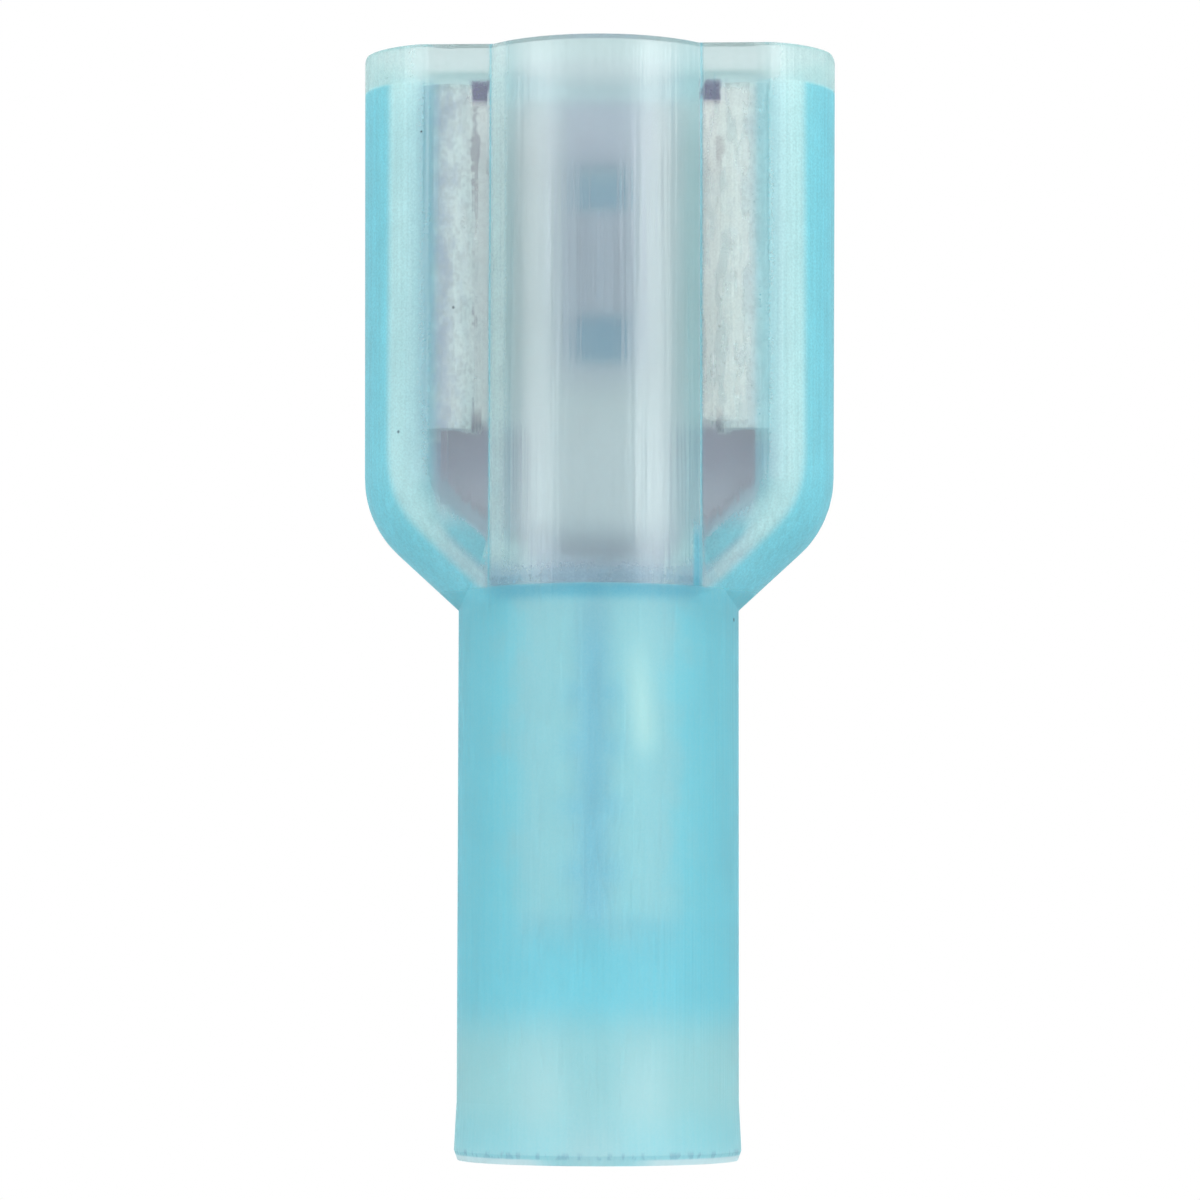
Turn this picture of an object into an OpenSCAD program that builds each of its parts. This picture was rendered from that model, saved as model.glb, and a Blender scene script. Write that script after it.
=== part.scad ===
// Fully insulated female spade terminal, for a 6.3 x 0.8 mm tab and 16-14 AWG wire.
// Millimetres. The part stands on the rear end of its sleeve: Z runs from the wire end
// up to the mouth, X across the tab and Y through the tab's thickness. The rolled rails
// and the seam of the wire barrel face -Y. The origin is the centre of the rear end face.

/* [Tab] */
// Width of the flat tab that the socket takes
tab_w = 6.3; // [4.8:0.1:8]
// Thickness of that tab
tab_t = 0.8; // [0.5:0.05:1.2]

/* [Receptacle] */
// Thickness of the sheet metal
sheet_t = 0.4; // [0.3:0.05:0.5]
// Play between the tab's edge and the side wall, on each side
tab_side_play = 0.15; // [0.05:0.05:0.4]
// Gap between the tab's face and the rolled edges before they are sprung open
tab_face_gap = 0.02; // [0.01:0.01:0.1]
// Length of the rolled rails
rail_len = 7.2; // [6:0.1:9]
// Inside radius of the roll
rail_roll = 0.24; // [0.15:0.01:0.35]
// Straight length of the leg that turns back towards the tab
rail_leg = 0.64; // [0.4:0.02:0.8]
// How far that leg leans inwards, in degrees
leg_lean = 18; // [0:1:26]
// Inside radius of the bend between floor and side wall
floor_bend = 0.1; // [0.05:0.01:0.25]
// Length of the lead-in cut at the mouth end of each leg
mouth_clip_len = 0.42; // [0.2:0.02:0.7]
// Depth of that cut, from the leg's free edge
mouth_clip_depth = 0.4; // [0.2:0.02:0.5]
// Length of the cut at the rear end of each leg
rear_clip_len = 0.36; // [0.2:0.02:0.6]
// Depth of that cut
rear_clip_depth = 0.3; // [0.15:0.01:0.45]
// Length of the notch in each leg's free edge
leg_notch_len = 0.46; // [0.2:0.02:0.8]
// Depth of that notch
leg_notch_depth = 0.2; // [0.1:0.01:0.35]
// Distance of that notch from the mouth end
leg_notch_at = 1.3; // [0.8:0.1:3]

/* [Locking dimple] */
// Distance from the mouth end to the middle of the dimple
dimple_at = 3.46; // [3:0.02:4.4]
// Length of the raised bridge
dimple_len = 2.2; // [1.5:0.1:2.8]
// Width of the raised bridge
dimple_w = 0.95; // [0.7:0.05:1.3]
// Height of the bridge above the floor
dimple_rise = 0.28; // [0.15:0.01:0.35]
// Length of the window that frees each end of the bridge
window_len = 1; // [0.6:0.1:1.3]
// Width that the windows stand out past the bridge, on each side
window_lap = 0.06; // [0.02:0.01:0.3]

/* [Neck] */
// Length from the housing's inner shelf to the rear end of the rails
neck_len = 3.1; // [2.6:0.05:4.5]
// Straight length of the neck next to the rails
neck_straight = 0.6; // [0.3:0.05:1]
// Height of the neck's walls above the tab's back face, next to the rails
neck_wall_h = 0.3; // [0.1:0.05:0.6]
// How far the neck's walls rise above the barrel's axis at the barrel
neck_wing_h = 0.1; // [0:0.05:0.3]
// Share of the neck's taper over which the floor rises from barrel to tab level
neck_ramp = 0.5; // [0.35:0.05:0.8]

/* [Wire barrel] */
// Inside diameter of the rolled barrel
crimp_bore_d = 2.6; // [2.2:0.1:3.4]
// Length of the rolled barrel
crimp_len = 6.7; // [5:0.1:8]
// Width of the butted seam
seam_gap = 0.12; // [0.05:0.01:0.3]
// How far below the inner shelf the barrel's upper end lies
crimp_set = 0.2; // [0.1:0.05:0.5]
// Number of inner serrations
serrations = 3; // [2:1:5]
// Width of a serration
serration_w = 0.36; // [0.2:0.02:0.5]
// Depth of a serration
serration_depth = 0.1; // [0.05:0.01:0.15]
// Break of the barrel's edge where the wire goes in
crimp_lead = 0.12; // [0.05:0.01:0.15]

/* [Housing head] */
// Room between the receptacle and the side wall, on each side
side_room = 0.7; // [0.4:0.05:1]
// Room between the receptacle and the front and back walls
face_room = 0.15; // [0.05:0.01:0.3]
// Thickness of the side walls
side_wall = 0.55; // [0.4:0.05:0.75]
// Thickness of the front and back walls
face_wall = 0.6; // [0.45:0.05:0.75]
// Draft of the side walls, in degrees
side_draft = 0.3; // [0:0.1:1]
// Height of the mouth above the rails, over which the side walls are thinner
lip_len = 0.75; // [0.4:0.05:1.2]
// Thickness of the side walls there
lip_wall = 0.25; // [0.2:0.01:0.35]
// Rounding of the mouth's two outer corners
rim_round = 0.15; // [0.1:0.05:0.5]
// Break of the mouth's outer edge, front and back
rim_break = 0.12; // [0.05:0.01:0.2]
// Angle of the shoulders, from the vertical
shoulder_angle = 47.4; // [40:0.2:56]
// Bend radius of the middle of the rounded edge, where side turns into shoulder
shoulder_bend = 0.25; // [0.25:0.05:0.6]
// How far below the inner shelf the shoulders meet the sleeve
shoulder_drop = 0.58; // [0.3:0.02:1]

/* [Housing sleeve] */
// Room between the wire barrel's outside and the sleeve's wall above the inner shelf
bulge_room = 0.66; // [0.5:0.02:1]
// Thickness of the sleeve's wall above the inner shelf
bulge_wall = 0.56; // [0.4:0.02:0.7]
// Length of the sleeve, from its rear end to the inner shelf
sleeve_len = 11.95; // [10.5:0.05:15]
// Room between the wire barrel and the sleeve's bore
bore_room = 0.08; // [0.04:0.01:0.2]
// Diameter of the wire entry
entry_d = 4.4; // [3.9:0.1:5]
// Straight length of the wire entry
entry_len = 1.67; // [1:0.01:2]
// Length of the funnel between the wire entry and the bore
funnel_len = 1.68; // [0.8:0.01:2]
// How far the sleeve swells at its rear end
rear_swell = 0.05; // [0.01:0.01:0.15]
// Length of that swell
rear_swell_len = 1.2; // [0.5:0.1:3]
// Width of the break of the rear end's outer edge
rear_bevel = 0.07; // [0.05:0.01:0.2]
// Length of that break along the sleeve
rear_bevel_len = 0.2; // [0.05:0.01:0.4]

/* [Hidden] */
$fn = 96;
nylon_blue = [0.48, 0.83, 0.88, 0.6];
tin_plate = [0.78, 0.79, 0.78];

// Receptacle
wall_x = tab_w / 2 + tab_side_play;
recept_w = 2 * (wall_x + sheet_t);
roll_r = rail_roll + sheet_t;
bend_r = floor_bend + sheet_t;
leg_drop = rail_leg * cos(leg_lean) - rail_roll * sin(leg_lean);
recept_h = sheet_t + tab_t + tab_face_gap + leg_drop + roll_r;
floor_y = recept_h / 2 - sheet_t;
roll_x = wall_x + sheet_t - roll_r;
roll_y = roll_r - recept_h / 2;
leg_x = roll_x - roll_r * cos(leg_lean) - rail_leg * sin(leg_lean);

// Wire barrel and housing bores
crimp_r = crimp_bore_d / 2;
crimp_out_r = crimp_r + sheet_t;
bore_r = crimp_out_r + bore_room;
bulge_in_r = crimp_out_r + bulge_room;
sleeve_r = bulge_in_r + bulge_wall;

// Levels
shelf_z = sleeve_len;
rail_z = shelf_z + neck_len;
ledge_z = rail_z + rail_len;
top_z = ledge_z + lip_len;
crimp_top_z = shelf_z - crimp_set;
crimp_z = crimp_top_z - crimp_len;

// Head: its outline is a drafted side line and a shoulder line, blended by a bend
// whose centre lies one bend radius inside both lines.
head_w = recept_w + 2 * (side_room + side_wall);
head_t = recept_h + 2 * (face_room + face_wall);
outer_bend = shoulder_bend + head_t / 2;
// The half-round edges reach this far inward, under the flats, which lie this little lower.
edge_lap = 0.2;
flat_sink = 0.008;
side_out = [cos(side_draft), -sin(side_draft)];
shoulder_out = [cos(shoulder_angle), -sin(shoulder_angle)];
side_reach = [head_w / 2, top_z] * side_out - outer_bend;
shoulder_reach = [sleeve_r, shelf_z - shoulder_drop] * shoulder_out - outer_bend;
turn = shoulder_angle - side_draft;
bend_c = [
    side_reach * sin(shoulder_angle) - shoulder_reach * sin(side_draft),
    side_reach * cos(shoulder_angle) - shoulder_reach * cos(side_draft)
] / sin(turn);

// Lengths of the side line above the bend and of the shoulder line below it
side_run = (top_z - bend_c.y) / cos(side_draft);
shoulder_run = bend_c.x / sin(shoulder_angle);
// How far the head's form runs down inside the sleeve
head_root = 0.3;

// Neck: rows of points from the barrel up to the rails, columns across the sheet
eps = 0.01;
neck_rows = 20;
wall_cols = 2;
bend_cols = 7;
neck_lap = 0.15;

// ---------- housing ----------

// Outer part of a disc: the section of the head's rounded edge, seen along the edge
module edge_section(half_t, reach) {
    translate([reach, 0])
        difference() {
            circle(r = half_t);
            translate([-edge_lap - 2 * half_t, -2 * half_t])
                square([2 * half_t, 4 * half_t]);
        }
}

// One rounded edge: side, bend and shoulder with the same section
module head_edge(half_t, reach) {
    translate([bend_c.x, 0, bend_c.y]) {
        rotate([0, side_draft, 0])
            linear_extrude(side_run + half_t)
                edge_section(half_t, reach);
        rotate([-90, side_draft, 0])
            rotate_extrude(angle = turn)
                edge_section(half_t, reach);
        rotate([0, shoulder_angle, 0])
            translate([0, 0, -shoulder_run])
                linear_extrude(shoulder_run)
                    edge_section(half_t, reach);
    }
}

// The flat head between two levels, set in from the outside by a side and a face inset
module flat_head(side_inset, face_inset, z_from, z_to) {
    half_t = head_t / 2 - face_inset;
    reach = outer_bend - side_inset - half_t;
    side_start = bend_c + reach * side_out;
    side_end = side_start + [sin(side_draft), cos(side_draft)] * (side_run + half_t);
    shoulder_start = bend_c + reach * shoulder_out;
    shoulder_end = shoulder_start - [sin(shoulder_angle), cos(shoulder_angle)] * shoulder_run;
    foot_z = bend_c.y - bend_c.x / tan(shoulder_angle);
    intersection() {
        translate([-head_w, -head_t, z_from])
            cube([2 * head_w, 2 * head_t, z_to - z_from]);
        union() {
            rotate([90, 0, 0])
                linear_extrude(2 * (half_t - flat_sink), center = true) {
                    polygon([
                        side_end, side_start, bend_c, shoulder_start, shoulder_end, [0, foot_z],
                        [-shoulder_end.x, shoulder_end.y], [-shoulder_start.x, shoulder_start.y],
                        [-bend_c.x, bend_c.y], [-side_start.x, side_start.y], [-side_end.x, side_end.y]
                    ]);
                    for (side = [-1, 1])
                        translate([side * bend_c.x, bend_c.y])
                            circle(r = reach);
                }
            for (side = [0, 1])
                mirror([side, 0, 0])
                    head_edge(half_t, reach);
        }
    }
}

// The head's outside, with the mouth's outer edge broken along its flat faces
module head_form() {
    half_t = head_t / 2;
    difference() {
        flat_head(0, 0, shelf_z - shoulder_drop - head_root, top_z);
        for (side = [0, 1])
            mirror([0, side, 0])
                rotate([90, 0, 90])
                    linear_extrude(2 * head_w, center = true)
                        polygon([
                            [half_t - rim_break - 1, top_z + 1],
                            [half_t + 1, top_z - rim_break - 1],
                            [half_t + 1, top_z + 1]
                        ]);
    }
}

// The sleeve runs through the head up to the mouth and stands out of it as a bulge
module sleeve() {
    rotate_extrude()
        polygon([
            [0, 0],
            [sleeve_r + rear_swell - rear_bevel, 0],
            [sleeve_r + rear_swell, rear_bevel_len],
            [sleeve_r, rear_swell_len],
            [sleeve_r, top_z - rim_break],
            [sleeve_r - rim_break, top_z],
            [0, top_z]
        ]);
}

// Wire entry, funnel and bore, as one turned core
module bore_core() {
    rotate_extrude()
        polygon([
            [0, -1],
            [entry_d / 2, -1],
            [entry_d / 2, entry_len],
            [bore_r, entry_len + funnel_len],
            [bore_r, shelf_z + 1],
            [0, shelf_z + 1]
        ]);
}

// What is cut away to round the two outer corners of the mouth
module corner_waste() {
    for (side = [0, 1])
        mirror([side, 0, 0])
            translate([head_w / 2 - rim_round, 0, top_z - rim_round])
                rotate([90, 0, 0])
                    linear_extrude(2 * head_t, center = true)
                        difference() {
                            square(rim_round + 1);
                            circle(r = rim_round);
                        }
}

module housing() {
    color(nylon_blue)
        difference() {
            union() {
                head_form();
                sleeve();
            }
            bore_core();
            flat_head(side_wall, face_wall, shelf_z, ledge_z + eps);
            flat_head(lip_wall, face_wall, ledge_z, top_z + 1);
            translate([0, 0, shelf_z])
                cylinder(r = bulge_in_r, h = top_z);
            corner_waste();
        }
}

// ---------- terminal ----------

// Right half of the receptacle's section: floor, bend, side wall, roll and leg
module rail_section() {
    translate([0, floor_y])
        square([wall_x + sheet_t - bend_r, sheet_t]);
    translate([wall_x + sheet_t - bend_r, floor_y + sheet_t - bend_r])
        intersection() {
            difference() {
                circle(r = bend_r);
                circle(r = floor_bend);
            }
            square(bend_r);
        }
    translate([wall_x, roll_y])
        square([sheet_t, floor_y + sheet_t - bend_r - roll_y]);
    translate([roll_x, roll_y]) {
        difference() {
            circle(r = roll_r);
            circle(r = rail_roll);
            translate([-roll_r, 0])
                square([2 * roll_r, roll_r]);
            rotate(leg_lean)
                translate([-2 * roll_r, 0])
                    square([2 * roll_r, roll_r]);
        }
        rotate(leg_lean)
            translate([-roll_r, 0])
                square([sheet_t, rail_leg]);
    }
}

// Cuts in the right-hand leg's free edge, drawn in the X-Z plane
module leg_cuts() {
    edge = leg_x - 1;
    notch_z = ledge_z - leg_notch_at;
    translate([edge, ledge_z - mouth_clip_len])
        square([1 + mouth_clip_depth, mouth_clip_len + 1]);
    polygon([
        [edge, rail_z - 1], [leg_x + rear_clip_depth, rail_z - 1],
        [leg_x + rear_clip_depth, rail_z], [leg_x, rail_z + rear_clip_len],
        [edge, rail_z + rear_clip_len]
    ]);
    polygon([
        [edge, notch_z], [leg_x, notch_z],
        [leg_x + leg_notch_depth, notch_z - leg_notch_len],
        [edge, notch_z - leg_notch_len]
    ]);
}

// Section of the locking dimple: the sheet pushed up in an arc, both sides alike
module bridge_section() {
    arc_r = (pow(dimple_w / 2, 2) + pow(dimple_rise, 2)) / (2 * dimple_rise);
    difference() {
        translate([0, floor_y - dimple_rise + arc_r])
            circle(r = arc_r);
        translate([0, floor_y - dimple_rise + sheet_t + arc_r])
            circle(r = arc_r);
    }
}

module receptacle() {
    bridge_z = ledge_z - dimple_at - dimple_len / 2;
    window_w = dimple_w + 2 * window_lap;
    difference() {
        translate([0, 0, rail_z])
            linear_extrude(rail_len)
                for (side = [0, 1])
                    mirror([side, 0])
                        rail_section();
        for (side = [0, 1])
            mirror([side, 0, 0])
                rotate([90, 0, 0])
                    linear_extrude(recept_h / 2 + 1)
                        leg_cuts();
        translate([-window_w / 2, floor_y - 1, bridge_z - window_len])
            cube([window_w, sheet_t + 2, window_len]);
        translate([-window_w / 2, floor_y - 1, bridge_z + dimple_len])
            cube([window_w, sheet_t + 2, window_len]);
        translate([-dimple_w / 2, floor_y - 1, bridge_z])
            cube([dimple_w, sheet_t + 2, dimple_len]);
    }
    translate([0, 0, bridge_z])
        linear_extrude(dimple_len)
            bridge_section();
}

// Smooth step from 0 to 1
function ease(t) = let (u = max(0, min(1, t))) u * u * (3 - 2 * u);

// Neck, as a sheet of even thickness round a middle surface. At height z its section is
// a trough: two walls, two bends and a floor, each laid out in steps across the sheet.
neck_top_z = rail_z + neck_lap;
neck_foot_z = crimp_top_z - neck_lap;
taper_len = neck_len - neck_straight;
function taper(z) = ease((z - shelf_z) / taper_len);
function ramp(z) = ease((z - shelf_z) / (taper_len * neck_ramp));
function neck_half_w(z) =
    crimp_r + sheet_t / 2 + taper(z) * (wall_x - crimp_r);
function neck_back_y(z) =
    crimp_r + sheet_t / 2 + ramp(z) * (floor_y - crimp_r);
function neck_bend(z) =
    crimp_r + sheet_t / 2 - 2 * eps + taper(z) * (floor_bend + 2 * eps - crimp_r);
function neck_edge_y(z) =
    -neck_wing_h + taper(z) * (floor_y - neck_wall_h + neck_wing_h);

// A point of the middle surface on the right half, by step from the wall's edge
neck_steps = wall_cols + bend_cols;
function turned(step) = max(0, 90 * (step - wall_cols) / bend_cols);
function neck_point(z, step) =
    let (
        b = neck_back_y(z), r = neck_bend(z), e = neck_edge_y(z),
        x = neck_half_w(z) - r, y = b - r, a = turned(step)
    )
    [x + r * cos(a), step < wall_cols ? e + (y - e) * step / wall_cols : y + r * sin(a), z];

// Outward normal of the middle surface at that point
function neck_normal(z, step) =
    let (
        across = [-sin(turned(step)), cos(turned(step)), 0],
        along = neck_point(z + eps, step) - neck_point(z - eps, step),
        n = cross(across, along)
    ) n / norm(n);

// One face of the sheet at height z, from edge to edge: right half, then left half
function neck_row(z, offset) =
    let (right = [for (s = [0:neck_steps]) neck_point(z, s) + offset * neck_normal(z, s)])
    concat(right, [for (s = [neck_steps:-1:0]) [-right[s].x, right[s].y, right[s].z]]);

module neck() {
    half_t = sheet_t / 2 - eps;
    cols = 2 * neck_steps + 2;
    zs = concat(
        [neck_foot_z],
        [for (i = [0:neck_rows]) shelf_z + taper_len * i / neck_rows],
        [neck_top_z]
    );
    rows = len(zs);
    inner = [for (z = zs) each neck_row(z, -half_t)];
    outer = [for (z = zs) each neck_row(z, half_t)];
    far = rows * cols;
    skin = [for (r = [0:rows - 2]) for (c = [0:cols - 2])
        let (a = r * cols + c) [a, a + 1, a + 1 + cols, a + cols]];
    ends = [for (c = [0:cols - 2]) for (r = [0, rows - 1])
        let (a = r * cols + c) r == 0 ? [a, a + far, a + far + 1, a + 1]
                                      : [a, a + 1, a + far + 1, a + far]];
    edges = [for (r = [0:rows - 2]) for (c = [0, cols - 1])
        let (a = r * cols + c) c == 0 ? [a, a + cols, a + far + cols, a + far]
                                      : [a, a + far, a + far + cols, a + cols]];
    polyhedron(
        points = concat(inner, outer),
        faces = concat(
            skin,
            [for (f = skin) [for (k = [3:-1:0]) f[k] + far]],
            ends, edges
        ),
        convexity = 4
    );
}

module wire_barrel() {
    pitch = crimp_len / (serrations + 1);
    difference() {
        translate([0, 0, crimp_z])
            cylinder(r = crimp_out_r, h = crimp_len);
        translate([0, 0, crimp_z - 1])
            cylinder(r = crimp_r, h = crimp_len + 2);
        translate([0, 0, crimp_z - eps])
            cylinder(r1 = crimp_r + crimp_lead, r2 = crimp_r, h = crimp_lead);
        for (i = [1:serrations])
            translate([0, 0, crimp_z + i * pitch - serration_w / 2])
                cylinder(r = crimp_r + serration_depth, h = serration_w);
        translate([-seam_gap / 2, -crimp_out_r - 1, crimp_z - 1])
            cube([seam_gap, crimp_out_r, crimp_len + 2]);
    }
}

module terminal() {
    color(tin_plate) {
        receptacle();
        neck();
        wire_barrel();
    }
}

housing();
terminal();
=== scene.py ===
import math

import bpy
from mathutils import Matrix, Vector


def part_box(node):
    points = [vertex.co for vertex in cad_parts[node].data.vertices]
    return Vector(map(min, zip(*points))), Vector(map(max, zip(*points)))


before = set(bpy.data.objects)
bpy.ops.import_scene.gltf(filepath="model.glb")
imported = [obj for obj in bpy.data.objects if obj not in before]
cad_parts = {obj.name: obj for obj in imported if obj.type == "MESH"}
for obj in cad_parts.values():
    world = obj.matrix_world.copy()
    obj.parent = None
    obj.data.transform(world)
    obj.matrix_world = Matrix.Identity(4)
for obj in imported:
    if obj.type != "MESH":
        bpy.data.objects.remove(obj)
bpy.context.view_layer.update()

MM = 0.001
scene = bpy.context.scene
house_low, house_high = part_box("housing")


# ---------- small helpers ----------

# Most of a noise lies between these two values
NOISE_RANGE = (0.3, 0.7)
# From the left half to the right half, in millimetres of x
LEFT_TO_RIGHT = (-0.5, 0.5)


class Shading:
    """A node material, with short calls for the nodes used more than once."""

    def __init__(self, name):
        self.material = bpy.data.materials.new(name)
        self.material.use_nodes = True
        self.nodes = self.material.node_tree.nodes
        self.links = self.material.node_tree.links
        self.nodes.clear()
        self.out = self.nodes.new("ShaderNodeOutputMaterial")
        self.place = self.nodes.new("ShaderNodeTexCoord").outputs["Object"]

    def put(self, socket, value):
        """Link the socket, or set its number or its colour. A colour is a tuple of three."""
        if isinstance(value, bpy.types.NodeSocket):
            self.links.new(value, socket)
        elif isinstance(value, tuple):
            socket.default_value = (*value, 1)
        else:
            socket.default_value = value

    def math(self, operation, a, b=0.0, c=0.0):
        node = self.nodes.new("ShaderNodeMath")
        node.operation = operation
        for socket, value in zip(node.inputs, (a, b, c)):
            self.put(socket, value)
        return node.outputs[0]

    def chain(self, operation, masks):
        result = masks[0]
        for mask in masks[1:]:
            result = self.math(operation, result, mask)
        return result

    def every(self, *masks):
        """The product of several masks."""
        return self.chain("MULTIPLY", masks)

    def any(self, *masks):
        """The largest of several masks."""
        return self.chain("MAXIMUM", masks)

    def axis(self, letter):
        """One object coordinate in millimetres."""
        node = self.nodes.new("ShaderNodeSeparateXYZ")
        self.links.new(self.place, node.inputs[0])
        return self.math("MULTIPLY", node.outputs[letter], 1 / MM)

    def off(self, value, centre):
        """How far the value is from a centre."""
        return self.math("ABSOLUTE", self.math("SUBTRACT", value, centre))

    def distance(self, point):
        """The distance in metres to a point given in millimetres."""
        node = self.nodes.new("ShaderNodeVectorMath")
        node.operation = "DISTANCE"
        self.links.new(self.place, node.inputs[0])
        node.inputs[1].default_value = [n * MM for n in point]
        return node.outputs["Value"]

    def noise(self, grain, detail=2.0, rough=0.5):
        """Noise whose grain has the given size in millimetres along each axis."""
        mapping = self.nodes.new("ShaderNodeMapping")
        mapping.inputs["Scale"].default_value = [1 / (size * MM) for size in grain]
        self.links.new(self.place, mapping.inputs["Vector"])
        node = self.nodes.new("ShaderNodeTexNoise")
        self.links.new(mapping.outputs["Vector"], node.inputs["Vector"])
        node.inputs["Scale"].default_value = 1
        node.inputs["Detail"].default_value = detail
        node.inputs["Roughness"].default_value = rough
        return node.outputs["Fac"]

    def ramp(self, value, low, high, out_low=0.0, out_high=1.0, smooth=True):
        node = self.nodes.new("ShaderNodeMapRange")
        node.interpolation_type = "SMOOTHSTEP" if smooth else "LINEAR"
        for name, number in (("Value", value), ("From Min", low), ("From Max", high),
                             ("To Min", out_low), ("To Max", out_high)):
            self.put(node.inputs[name], number)
        return node.outputs["Result"]

    def fall(self, value, low, high, end=0.0):
        """From 1 at low down to end at high."""
        return self.ramp(value, low, high, 1.0, end)

    def varied(self, value, pattern, low, high):
        """The value times a factor that follows a noise."""
        factor = self.ramp(pattern, *NOISE_RANGE, low, high, smooth=False)
        return self.math("MULTIPLY", value, factor)

    def blend(self, fac, a, b):
        node = self.nodes.new("ShaderNodeMix")
        self.put(node.inputs["Factor"], fac)
        self.put(node.inputs[2], a)
        self.put(node.inputs[3], b)
        return node.outputs[0]

    def mix_colour(self, fac, a, b):
        node = self.nodes.new("ShaderNodeMix")
        node.data_type = "RGBA"
        self.put(node.inputs["Factor"], fac)
        self.put(node.inputs[6], a)
        self.put(node.inputs[7], b)
        return node.outputs[2]

    def bump(self, height, strength, distance):
        node = self.nodes.new("ShaderNodeBump")
        self.put(node.inputs["Height"], height)
        node.inputs["Strength"].default_value = strength
        node.inputs["Distance"].default_value = distance
        return node.outputs["Normal"]

    def mix_shader(self, fac, a, b):
        node = self.nodes.new("ShaderNodeMixShader")
        self.put(node.inputs["Fac"], fac)
        self.links.new(a, node.inputs[1])
        self.links.new(b, node.inputs[2])
        return node.outputs[0]

    def shader(self, kind, **inputs):
        node = self.nodes.new(kind)
        for name, value in inputs.items():
            self.put(node.inputs[name.replace("_", " ")], value)
        return node.outputs[0]


# ---------- nylon ----------
# Places are in millimetres: x from the middle, y to the back, z up from the wire end.

NYLON_TINT = (0.90, 0.985, 0.985)
FLAT_TINT = (1.0, 1.0, 1.0)
# Absorption per millimetre of red, green and blue
NYLON_ABSORB = (0.25, 0.08, 0.06)
NYLON_IOR = 1.53
# Share of the milky light that passes on through the wall
MILK_THROUGH = 0.4
ROUGH_FLAT = 0.15
ROUGH_BULGE = 0.24
ROUGH_SIDE = 0.26
ROUGH_SLEEVE = 0.50
# The fine lines along the part
DRAWN_STRENGTH = 0.6
DRAWN_DEPTH = 0.02 * MM

SLEEVE_R = 2.92
# The sleeve's colour ends a little below the inner shelf
SLEEVE_TOP = 11.72
SIDE_X = 4.95
CORNER_BLEND = 1.1
SHOULDER = math.radians(47.4)
SHOULDER_FOOT = 11.37
HEAD_RISE = (SHOULDER_FOOT - 0.1, SHOULDER_FOOT + 0.25)
BULGE_EDGE = (2.1, 2.3)
CREASE_X = 2.17
RAIL_OUTSIDE = (3.1, 3.8)
LIP_LEDGE = (22.2, 22.3)
# Over these heights the band's inner border moves from the first depth to the second
BAND_BOTTOM = (12.6, 13.5)
BAND_INSIDE = (-1.02, -1.50)

# Milkiness of the nylon by place: its share of the surface, and its colour. At several places
# this milky layer carries painted light or painted shade, as marked where each place is drawn.
# Each place covers those before it.
MILK = {
    "head": (0.13, (0.76, 0.82, 0.90)),
    "lip": (0.22, (0.52, 0.76, 0.76)),
    "bulge lip": (0.25, (0.52, 0.62, 0.68)),
    "rail": (0.30, (1.00, 1.00, 0.97)),
    "flank": (0.24, (0.56, 0.88, 0.92)),
    "left flank": (0.33, (0.84, 1.00, 0.99)),
    "crease": (0.40, (0.25, 0.68, 0.80)),
    "wall": (0.32, (0.35, 0.68, 0.75)),
    "slope": (0.42, (0.24, 0.68, 0.78)),
    "band": (0.52, (0.72, 1.00, 0.99)),
    "foot": (0.40, (0.42, 0.56, 0.67)),
    "crease foot": (0.50, (0.16, 0.56, 0.72)),
    "sleeve": (0.38, (0.27, 0.83, 0.96)),
    "rear": (0.38, (0.52, 0.86, 0.88)),
    "rear highlight": (0.40, (0.68, 0.93, 0.95)),
    "rear column": (0.38, (0.46, 0.79, 0.84)),
    "bevel": (0.60, (0.85, 0.95, 0.97)),
    "bevel line": (0.50, (0.28, 0.52, 0.64)),
    "column": (0.38, (0.43, 0.79, 0.86)),
    "seam": (0.58, (0.28, 0.67, 0.83)),
    "step": (0.42, (0.14, 0.58, 0.76)),
    "glint": (0.40, (0.66, 0.94, 0.92)),
    "edge": (0.62, (0.25, 0.72, 0.83)),
    "corner": (0.60, (0.17, 0.15, 0.25)),
    "speck": (0.75, (0.04, 0.05, 0.08)),
}
# Heights of the barrel's serrations, which show as darker bars through the sleeve
SERRATIONS = (9.5, 8.45, 7.2, 5.9)
BAR_REACH = 0.55
# Dark specks in the nylon, each a point and a radius
SPECKS = (((-4.09, -1.62, 14.96), 0.050), ((-3.61, -1.85, 21.17), 0.028),
          ((-2.92, -1.95, 17.49), 0.032), ((2.83, -0.72, 11.13), 0.050),
          ((4.76, -0.85, 17.9), 0.030))


def from_outline(s, x, z):
    """Millimetres outside the rounded line of side and shoulder, negative inside it."""
    along_x = s.math("MULTIPLY", s.math("SUBTRACT", x, SLEEVE_R), math.cos(SHOULDER))
    along_z = s.math("MULTIPLY", s.math("SUBTRACT", z, SHOULDER_FOOT), math.sin(SHOULDER))
    from_shoulder = s.math("SUBTRACT", along_x, along_z)
    return s.math("SMOOTH_MAX", s.math("SUBTRACT", x, SIDE_X), from_shoulder, CORNER_BLEND)


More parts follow.
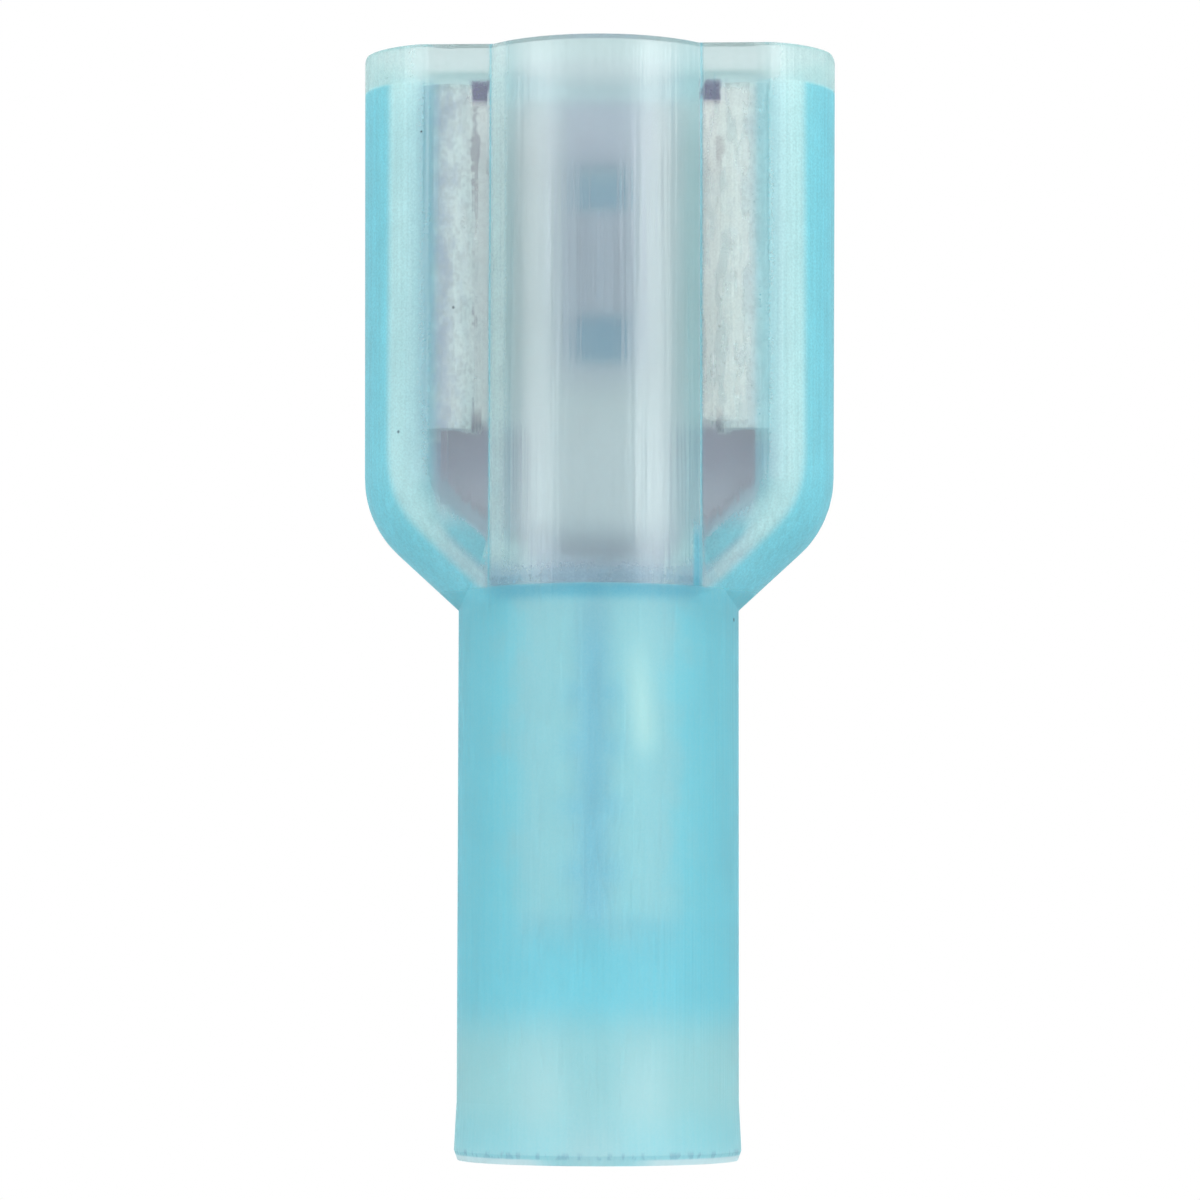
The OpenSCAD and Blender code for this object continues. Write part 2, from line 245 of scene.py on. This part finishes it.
def head_places(s, side_x, x, y, z, mottle, head, outside_bulge):
    """The places on the head, each a mask from 0 to 1."""
    from_edge = from_outline(s, x, z)
    below_lip = s.fall(z, *LIP_LEDGE)
    band_inside = s.ramp(z, *BAND_BOTTOM, *BAND_INSIDE)
    ragged_x = s.math("ADD", x, s.ramp(mottle, *NOISE_RANGE, -0.09, 0.09))
    return {
        "lip": s.ramp(z, 21.9, 22.3),
        # Painted shade that dims the light near the top of the bulge
        "bulge lip": s.every(s.ramp(z, 20.5, 21.7), s.fall(z, 22.2, 22.7, 0.3),
                             s.fall(x, 1.6, 2.1)),
        # Painted sheen over the rails, stronger on the right where the light is stronger
        "rail": s.every(outside_bulge, s.ramp(mottle, 0.35, 0.65, 0.55, 1.4, smooth=False),
                        s.fall(x, 2.9, 3.5), s.ramp(z, 15.0, 15.3), s.fall(z, 21.9, 22.2),
                        s.ramp(side_x, *LEFT_TO_RIGHT, 0.45, 1.0)),
        "edge": s.every(s.ramp(from_edge, -0.76, -0.54), head, below_lip),
        # A painted highlight band along side and shoulder, and a bluer strip of painted shade
        # inside it
        "band": s.every(s.ramp(from_edge, band_inside, -0.84), head, outside_bulge,
                        s.ramp(z, 12.3, 13.0, 0.6, 1.0), s.ramp(below_lip, 0, 1, 0.45, 1)),
        "slope": s.every(s.fall(z, 12.8, 13.8), s.ramp(from_edge, -1.58, -1.38),
                         s.ramp(z, 11.9, 12.3), s.fall(from_edge, -1.1, -0.8), outside_bulge),
        # Painted shade along the foot of the bulge
        "foot": s.every(s.fall(z, 11.9, 12.5), s.fall(x, 2.1, 2.2)),
        # A painted dark line along the bulge's crease, and painted shade at the crease's foot on
        # the right
        "crease": s.every(s.ramp(x, CREASE_X - 0.04, CREASE_X),
                          s.fall(x, CREASE_X, CREASE_X + 0.07), head),
        "crease foot": s.every(s.ramp(x, 1.98, 2.06), s.fall(x, 2.12, 2.20),
                               s.fall(z, 12.6, 13.3), s.ramp(side_x, *LEFT_TO_RIGHT)),
        # Painted shade over the nylon outside the rails, below the mouth
        "wall": s.every(s.ramp(x, 3.15, 3.42), s.fall(z, 22.1, 22.4), head),
        # Painted light on the bulge's flanks, brighter on the left
        "flank": s.every(s.ramp(x, 1.3, 2.05), s.fall(x, 2.1, 2.2)),
        "left flank": s.every(s.ramp(x, 1.7, 1.95), s.fall(x, 2.1, 2.14),
                              s.fall(side_x, *LEFT_TO_RIGHT)),
        # A painted shadow at the top of each rail, on its inner side
        "corner": s.every(s.ramp(z, 21.70, 21.82), s.fall(z, 22.16, 22.28),
                          s.fall(y, -1.2, -1.0), s.ramp(ragged_x, 2.16, 2.26),
                          s.fall(ragged_x, 2.56, 2.70)),
    }


def sleeve_places(s, side_x, x, z, mottle, cloud, sleeve):
    """The places on the sleeve, each a mask from 0 to 1."""
    wander = s.ramp(cloud, *NOISE_RANGE, -0.22, 0.22)
    barrel = s.every(s.ramp(s.math("ADD", z, wander), 4.0, 5.5),
                     s.fall(s.math("ADD", x, wander), 1.3, 2.1), s.fall(z, 11.3, 11.9, 0.3))
    bars = s.any(*(s.fall(s.off(z, level), 0.0, BAR_REACH) for level in SERRATIONS))
    seam = s.any(s.ramp(x, 0.0, 0.55, 0.7, 0.0), s.every(bars, s.ramp(x, 0.2, 0.95, 0.6, 0.0)))
    glint_x = s.ramp(z, 8.3, 10.3, 1.04, 0.9)
    return {
        "sleeve": sleeve,
        # Painted shadow along the top of the sleeve, under the head
        "step": s.every(sleeve, s.ramp(z, 11.3, 11.6), s.fall(x, 1.5, 2.4, 0.4)),
        # The barrel behind the nylon, and its seam
        "column": s.every(sleeve, barrel),
        "seam": s.every(sleeve, barrel, seam, s.fall(z, 10.2, 11.6, 0.3)),
        "glint": s.every(s.fall(s.off(side_x, glint_x), 0.0, 0.45), s.ramp(z, 7.9, 8.8),
                         s.fall(z, 9.3, 11.2)),
        # Below the barrel: the empty rear end of the sleeve, with a painted highlight on each
        # side of it, and its bevel
        "rear": s.every(s.fall(z, 2.2, 3.5), s.ramp(z, 0.3, 1.5, 0.5, 1.0)),
        "rear highlight": s.every(s.ramp(z, 0.2, 1.6), s.fall(z, 1.4, 3.5),
                             s.ramp(x, 1.1, 1.9, 0.7, 0.0), s.ramp(x, 0.1, 0.9)),
        "rear column": s.every(s.fall(z, 0.5, 1.2, 0.5), s.fall(z, 1.8, 3.2),
                               s.fall(x, 0.2, 1.0)),
        # Painted light along the bevel, weaker in the middle
        "bevel": s.every(s.fall(z, 0.10, 0.15), s.ramp(x, 0.6, 1.4, 0.15, 1.0)),
        "bevel line": s.every(s.ramp(z, 0.10, 0.15), s.fall(z, 0.2, 0.3),
                              s.ramp(mottle, 0.50, 0.60, 0.1, 0.9)),
    }


def nylon_material():
    s = Shading("blue nylon")
    side_x = s.axis("X")
    x = s.math("ABSOLUTE", side_x)
    y = s.axis("Y")
    z = s.axis("Z")
    mottle = s.noise((0.2, 0.2, 0.9), rough=0.6)
    cloud = s.noise((0.7, 0.7, 1.0), detail=1.0)
    drawn = s.noise((0.10, 0.10, 5.0), detail=1.0)
    grain = s.noise((0.045, 0.045, 0.045), detail=1.0)

    sleeve = s.fall(z, SLEEVE_TOP - 0.06, SLEEVE_TOP + 0.04)
    head = s.ramp(z, *HEAD_RISE)
    outside_bulge = s.ramp(x, *BULGE_EDGE)
    masks = {
        **head_places(s, side_x, x, y, z, mottle, head, outside_bulge),
        **sleeve_places(s, side_x, x, z, mottle, cloud, sleeve),
        "speck": s.any(*(s.fall(s.distance(point), radius * 0.5 * MM, radius * 1.3 * MM)
                         for point, radius in SPECKS)),
    }
    weight, colour = MILK["head"]
    for name, (share, place_colour) in MILK.items():
        if name != "head":
            weight = s.blend(masks[name], weight, share)
            colour = s.mix_colour(masks[name], colour, place_colour)
    weight = s.varied(weight, cloud, 0.93, 1.07)
    weight = s.varied(weight, grain, 0.90, 1.10)
    weight = s.varied(weight, drawn, 0.92, 1.08)

    normal = s.bump(drawn, DRAWN_STRENGTH, DRAWN_DEPTH)
    outside_rail = s.ramp(x, *RAIL_OUTSIDE)
    rough = s.blend(outside_bulge, ROUGH_BULGE, s.blend(outside_rail, ROUGH_FLAT, ROUGH_SIDE))
    rough = s.blend(sleeve, rough, ROUGH_SLEEVE)
    flat = s.every(outside_bulge, s.fall(outside_rail, 0, 1), head)
    tint = s.mix_colour(flat, NYLON_TINT, FLAT_TINT)
    clear = s.shader(
        "ShaderNodeBsdfPrincipled", Base_Color=tint, Roughness=rough,
        IOR=NYLON_IOR, Transmission_Weight=1.0, Normal=normal)
    front = s.shader("ShaderNodeBsdfDiffuse", Color=colour, Normal=normal)
    through = s.shader("ShaderNodeBsdfTranslucent", Color=colour, Normal=normal)
    milk = s.mix_shader(MILK_THROUGH, front, through)
    s.links.new(s.mix_shader(weight, clear, milk), s.out.inputs["Surface"])

    # A hair above the largest, so that no channel of the colour is zero
    top = max(NYLON_ABSORB) * 1.0001
    absorb = s.shader(
        "ShaderNodeVolumeAbsorption",
        Color=tuple(1 - a / top for a in NYLON_ABSORB), Density=top / MM)
    s.links.new(absorb, s.out.inputs["Volume"])
    return s.material


# ---------- tin plate ----------

TIN_METALLIC = 0.8
TIN_ROUGH = (0.50, 0.72)
TIN_GRAIN_STRENGTH = 0.4
TIN_GRAIN_DEPTH = 0.02 * MM
TIN_RAIL = (1.0, 1.0, 0.94)
TIN_RAIL_PAINTED_SHADE = (0.50, 0.50, 0.62)
TIN_RAIL_FINE = (0.66, 0.62, 0.60)
TIN_FLOOR_LOW_LIGHT = (0.92, 0.82, 0.81)
TIN_FLOOR = (0.74, 0.70, 0.68)
TIN_FLOOR_TOP_SHADE = (0.62, 0.59, 0.58)
TIN_FLOOR_MIDDLE_SHADE = (0.56, 0.51, 0.60)
TIN_FLOOR_FOOT_SHADE = (0.50, 0.52, 0.66)
TIN_NECK_SHADE = (0.44, 0.33, 0.43)
TIN_RIM_LIGHT = (0.62, 0.60, 0.66)
TIN_RIM_SHADE = (0.34, 0.36, 0.50)
TIN_SEAM = (0.30, 0.36, 0.50)
TIN_DARK = (0.16, 0.11, 0.17)
# In y, between the neck's rim and the bottom of its dish
DISH = (0.50, 0.66)
# In y, where the lines on the front of the rails fade out
RAIL_FRONT = (-0.4, -0.2)


def slit_lines(s, x, y, z, right):
    """Fine ragged dark lines between roll and leg, heavier near the mouth."""
    ragged = s.noise((9.0, 9.0, 0.12), detail=5.0, rough=0.75)
    line_x = s.ramp(ragged, *NOISE_RANGE, 2.49, 2.58, smooth=False)
    width = s.ramp(s.noise((5.0, 5.0, 0.55), detail=3.0), 0.45, 0.72, 0.0, 0.035)
    heavy = s.every(s.ramp(z, 20.0, 20.9), s.fall(z, 21.1, 21.3))
    heavy_width = s.every(heavy, s.ramp(ragged, 0.35, 0.65, 0.02, 0.12))
    width = s.math("ADD", width, heavy_width)
    line = s.fall(s.math("SUBTRACT", s.off(x, line_x), width), -0.012, 0.018)
    return s.every(line, s.ramp(y, *RAIL_FRONT, 0.85, 0.0),
                   s.any(heavy, s.fall(right, 0, 1, 0.45)))


def tin_material():
    s = Shading("tin plated brass")
    side_x = s.axis("X")
    x = s.math("ABSOLUTE", side_x)
    y = s.axis("Y")
    z = s.axis("Z")
    right = s.ramp(side_x, *LEFT_TO_RIGHT)
    blotch = s.noise((0.30, 0.30, 0.5), detail=4.0, rough=0.6)
    fine = s.noise((0.07, 0.07, 0.12), detail=3.0, rough=0.6)

    # Rails: brightest by the slit, with painted shade where the roll turns away from the light,
    # less of it on the right where the light is stronger
    wander = s.ramp(blotch, *NOISE_RANGE, -0.3, 0.3)
    roll_shade = s.ramp(s.math("ADD", x, wander), 2.65, 3.5)
    roll_shade = s.every(roll_shade, s.fall(right, 0, 1, 0.30))
    rail = s.mix_colour(roll_shade, TIN_RAIL, TIN_RAIL_PAINTED_SHADE)
    rail = s.mix_colour(s.ramp(fine, 0.46, 0.60, 0.0, 0.6), rail, TIN_RAIL_FINE)
    # Floor: painted light low down, painted shade towards the top, a lilac painted shade along
    # its middle behind the windows, and a bluer painted shade at its foot
    middle = s.every(s.fall(x, 0.55, 1.45), s.ramp(z, 15.6, 17.2))
    floor_with_painted_light = s.mix_colour(s.ramp(z, 14.5, 17.5), TIN_FLOOR_LOW_LIGHT, TIN_FLOOR)
    floor_with_painted_light = s.mix_colour(s.ramp(z, 19.5, 21.5), floor_with_painted_light, TIN_FLOOR_TOP_SHADE)
    floor_with_painted_light = s.mix_colour(middle, floor_with_painted_light, TIN_FLOOR_MIDDLE_SHADE)
    floor_with_painted_light = s.mix_colour(s.ramp(z, 12.3, 13.6, 0.8, 0.0), floor_with_painted_light, TIN_FLOOR_FOOT_SHADE)
    colour = s.mix_colour(s.fall(y, 0.2, 0.5), floor_with_painted_light, rail)

    # Below the rails the neck's dish is painted dark as shade, and its rim carries painted light
    # and shade, lighter low down and darker high under the rails
    neck = s.every(s.ramp(z, 13.3, 15.0, 0.60, 1.0), s.fall(z, 15.2, 15.4),
                   s.ramp(x, 1.5, 2.1), s.ramp(y, *DISH))
    colour = s.mix_colour(neck, colour, TIN_NECK_SHADE)
    rim = s.every(s.fall(z, 14.9, 15.1), s.ramp(x, 1.9, 2.1), s.ramp(y, 0.0, 0.1),
                  s.fall(y, *DISH))
    rim_light_and_shade = s.mix_colour(s.ramp(z, 13.8, 14.6), TIN_RIM_LIGHT, TIN_RIM_SHADE)
    colour = s.mix_colour(rim, colour, rim_light_and_shade)

    # Down the middle of its front, where its seam runs, the barrel is darker
    seam_dark = s.every(s.ramp(x, 0.0, 0.55, 0.6, 0.0), s.fall(z, 11.2, 11.8), s.fall(y, -1.0, -0.6))
    colour = s.mix_colour(seam_dark, colour, TIN_SEAM)

    colour = s.mix_colour(slit_lines(s, x, y, z, right), colour, TIN_DARK)
    slit_foot = s.every(s.ramp(x, 2.38, 2.46), s.fall(x, 2.56, 2.66),
                        s.ramp(z, 15.3, 15.6, 0.8, 0.0), s.fall(y, *RAIL_FRONT))
    colour = s.mix_colour(slit_foot, colour, TIN_DARK)

    rough = s.ramp(fine, *NOISE_RANGE, *TIN_ROUGH)
    normal = s.bump(fine, TIN_GRAIN_STRENGTH, TIN_GRAIN_DEPTH)
    plate = s.shader("ShaderNodeBsdfPrincipled", Base_Color=colour, Metallic=TIN_METALLIC,
                     Roughness=rough, Normal=normal)
    s.links.new(plate, s.out.inputs["Surface"])
    return s.material


def wear(name, material):
    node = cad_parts[name]
    node.data.materials.clear()
    node.data.materials.append(material)


wear("housing", nylon_material())
wear("terminal", tin_material())


# ---------- stage ----------

# How bright the white stage is where it shows through the nylon
BEHIND = 0.85
MATT = (0.8, 0.8, 0.8)
STAGE_SIZE = 2.0
UPRIGHT = (math.radians(90), 0, 0)


def stage_plane(name, width, depth, location, rotation, material):
    w, d = width / 2, depth / 2
    mesh = bpy.data.meshes.new(name)
    mesh.from_pydata([(-w, -d, 0), (w, -d, 0), (w, d, 0), (-w, d, 0)], [], [(0, 1, 2, 3)])
    mesh.materials.append(material)
    plane = bpy.data.objects.new(name, mesh)
    plane.location = location
    plane.rotation_euler = rotation
    scene.collection.objects.link(plane)


def white_stage_material():
    """White seen directly, a little less white through the nylon, and pale matt to light."""
    s = Shading("white stage")
    path = s.nodes.new("ShaderNodeLightPath").outputs
    inside = s.any(path["Is Transmission Ray"], path["Is Glossy Ray"])
    seen = s.any(path["Is Camera Ray"], inside)
    level = s.ramp(path["Is Camera Ray"], 0, 1, BEHIND, 1.0, smooth=False)
    white = s.shader("ShaderNodeEmission", Strength=level)
    matt = s.shader("ShaderNodeBsdfDiffuse", Color=MATT)
    s.links.new(s.mix_shader(seen, matt, white), s.out.inputs["Surface"])
    return s.material


def shade_card(name, width, low_z, high_z, y, colour):
    """A card behind the part that only light passing through the nylon meets."""
    s = Shading(name)
    path = s.nodes.new("ShaderNodeLightPath").outputs
    clear = s.shader("ShaderNodeBsdfTransparent")
    shade = s.shader("ShaderNodeEmission", Color=colour, Strength=1.0)
    s.links.new(s.mix_shader(path["Is Transmission Ray"], clear, shade), s.out.inputs["Surface"])
    stage_plane(name, width, high_z - low_z, (0, y, (low_z + high_z) / 2), UPRIGHT, s.material)


stage_white = white_stage_material()
stage_plane("floor", STAGE_SIZE, STAGE_SIZE, (0, 0, house_low.z), (0, 0, 0), stage_white)
stage_plane("backdrop", STAGE_SIZE, STAGE_SIZE, (0, 1.0, 0.5), UPRIGHT, stage_white)
shade_card("shade card", width=3 * MM, low_z=15.5 * MM, high_z=21.5 * MM, y=5 * MM,
           colour=(0.0, 0.20, 0.33))


# ---------- light ----------

LIGHT_AZIMUTH = 48
LIGHT_ELEVATION = 8
LIGHT_DISTANCE = 0.30
LIGHT_WIDTH = 0.14
LIGHT_HEIGHT = 0.30
LEFT_WATTS = 0.52
RIGHT_WATTS = 0.70
WORLD_WHITE = (1.08, 1.08, 1.08, 1)


def soft_light(name, azimuth, watts):
    """A tall panel facing the part from the front; a positive azimuth is to the right."""
    data = bpy.data.lights.new(name, "AREA")
    data.shape = "RECTANGLE"
    data.size = LIGHT_WIDTH
    data.size_y = LIGHT_HEIGHT
    data.energy = watts
    lamp = bpy.data.objects.new(name, data)
    a, e = math.radians(azimuth), math.radians(LIGHT_ELEVATION)
    aim = Vector((0, 0, house_high.z / 2))
    lamp.location = aim + LIGHT_DISTANCE * Vector(
        (math.sin(a) * math.cos(e), -math.cos(a) * math.cos(e), math.sin(e)))
    lamp.rotation_euler = (lamp.location - aim).to_track_quat("Z", "Y").to_euler()
    scene.collection.objects.link(lamp)


soft_light("left light", -LIGHT_AZIMUTH, LEFT_WATTS)
soft_light("right light", LIGHT_AZIMUTH, RIGHT_WATTS)

world = bpy.data.worlds.new("white room")
world.use_nodes = True
world.node_tree.nodes["Background"].inputs["Color"].default_value = WORLD_WHITE
scene.world = world


# ---------- camera ----------

CAMERA_DISTANCE = 92 * MM
CAMERA_HEIGHT = 4.4 * MM
CAMERA_TURN = math.radians(2.4)
CAMERA_ROLL = math.radians(0.11)
VIEW_WIDTH = 25.05 * MM
SENSOR_WIDTH = 36
AIM = Vector((0.027 * MM, 0, 11.6 * MM))

camera_data = bpy.data.cameras.new("camera")
camera = bpy.data.objects.new("camera", camera_data)
camera.location = (AIM.x + CAMERA_DISTANCE * math.sin(CAMERA_TURN),
                   -CAMERA_DISTANCE * math.cos(CAMERA_TURN), CAMERA_HEIGHT)
turned = (camera.location - AIM).to_track_quat("Z", "Y").to_matrix()
camera.rotation_euler = (turned @ Matrix.Rotation(CAMERA_ROLL, 3, "Z")).to_euler()
camera_data.sensor_width = SENSOR_WIDTH
camera_data.lens = SENSOR_WIDTH / VIEW_WIDTH * (camera.location - AIM).length
camera_data.clip_start = 0.001
camera_data.clip_end = 10
scene.collection.objects.link(camera)
scene.camera = camera
scene.view_settings.view_transform = "Standard"
